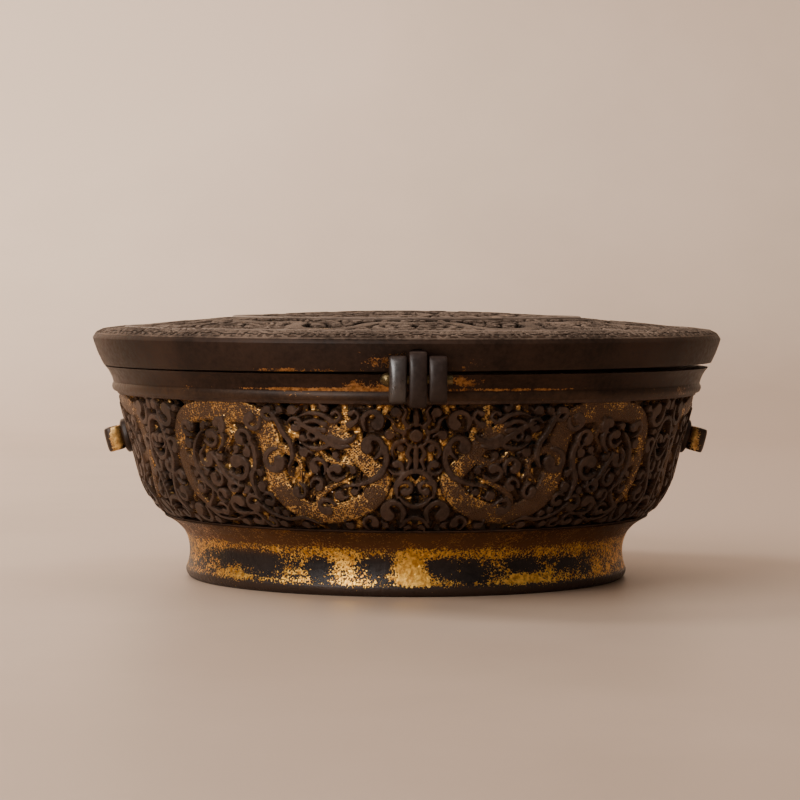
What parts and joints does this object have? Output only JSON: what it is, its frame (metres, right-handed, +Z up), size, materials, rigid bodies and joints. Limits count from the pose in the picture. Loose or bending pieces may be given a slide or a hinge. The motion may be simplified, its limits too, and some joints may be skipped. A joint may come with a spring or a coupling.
{
  "type": "pierced iron box",
  "caption": "Low round box of pierced iron with a bowl-shaped openwork wall, a foot ring, a domed openwork lid, a pinned clasp, a hinge and strap lugs.",
  "frame": {"origin": "centre of the foot ring's face on the ground, under the middle of the box", "axes": "+Z up, -Y towards the clasp, +Y towards the hinge, -X and +X towards the strap lugs"},
  "size_m": [0.19, 0.1996, 0.0803],
  "materials": {
    "openwork_iron": "dark brown iron with worn gilding in its lower level",
    "band_iron": "dark brown burnished iron with gilt traces",
    "lid_iron": "grey-brown chiselled iron",
    "loop_iron": "dark polished iron",
    "boss_iron": "dark worn iron",
    "plain_iron": "dull dark iron",
    "gilt_foot": "gilded iron, worn through to dark iron",
    "gilt_collar": "gilded iron, browned",
    "gilt_lug": "iron with gilt sides",
    "pin_brass": "darkened brass"
  },
  "bodies": {
    "bowl": {"foot_ring": "gilt_foot", "floor_plate": "plain_iron", "foot_collar": "gilt_collar", "pierced_wall": "openwork_iron", "wall_fillet": "band_iron", "mouth_band": "band_iron", "clasp_loop_left": "loop_iron", "clasp_loop_right": "loop_iron", "hinge_loop_left": "loop_iron", "hinge_loop_right": "loop_iron", "hinge_pin": "pin_brass", "strap_bosses": "boss_iron", "strap_lugs": "gilt_lug", "lug_washers": "plain_iron"},
    "lid": {"lid_band": "band_iron", "lid_ring_outer": "lid_iron", "lid_middle_panel": "lid_iron", "lid_ring_inner": "lid_iron", "lid_centre_panel": "lid_iron", "clasp_loop_centre": "loop_iron", "hinge_loop_centre": "loop_iron"},
    "pin": {"clasp_pin": "pin_brass"}
  },
  "joints": [
    {"name": "lid_hinge", "type": "hinge", "parent": "bowl", "child": "lid", "pos_m": [0, 0.0962, 0.0639], "axis": [-1, 0, 0], "range_deg": [0, 105]},
    {"name": "clasp_pin_slide", "type": "slide", "parent": "bowl", "child": "pin", "axis": [-1, 0, 0], "range_m": [0, 0.018]}
  ]
}
